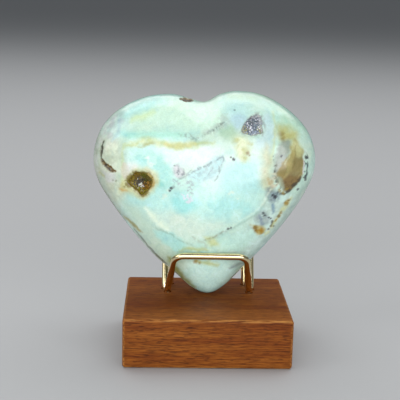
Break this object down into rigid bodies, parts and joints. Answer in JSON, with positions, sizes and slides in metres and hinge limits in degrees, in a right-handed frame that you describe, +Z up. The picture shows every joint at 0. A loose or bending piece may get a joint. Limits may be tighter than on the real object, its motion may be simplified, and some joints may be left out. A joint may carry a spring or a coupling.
{
  "type": "polished stone heart on stand",
  "caption": "Polished puffy heart of milky blue-green Andean opal, standing tip down in a bent brass wire stand on a drilled mahogany block.",
  "frame": {"origin": "middle of the whole object's box, on the underside of the block", "axes": "+Z up; the stone's polished face looks towards -Y; +X is to the right as seen from the front"},
  "size_m": [0.105, 0.0668, 0.1188],
  "materials": {
    "opal": "tumbled and buffed to a high polish, milky and slightly translucent",
    "brown_quartz_druse": "as grown, fine sparkling points",
    "grey_quartz_druse": "as grown, fine sparkling points",
    "brass": "polished rod",
    "mahogany": "sanded and oiled"
  },
  "bodies": {
    "root": {"opal_heart": "opal", "brown_druse_crust": "brown_quartz_druse", "grey_druse_crust": "grey_quartz_druse", "front_wire": "brass", "heel_wire": "brass", "rear_wire": "brass", "wood_block": "mahogany"}
  },
  "joints": []
}
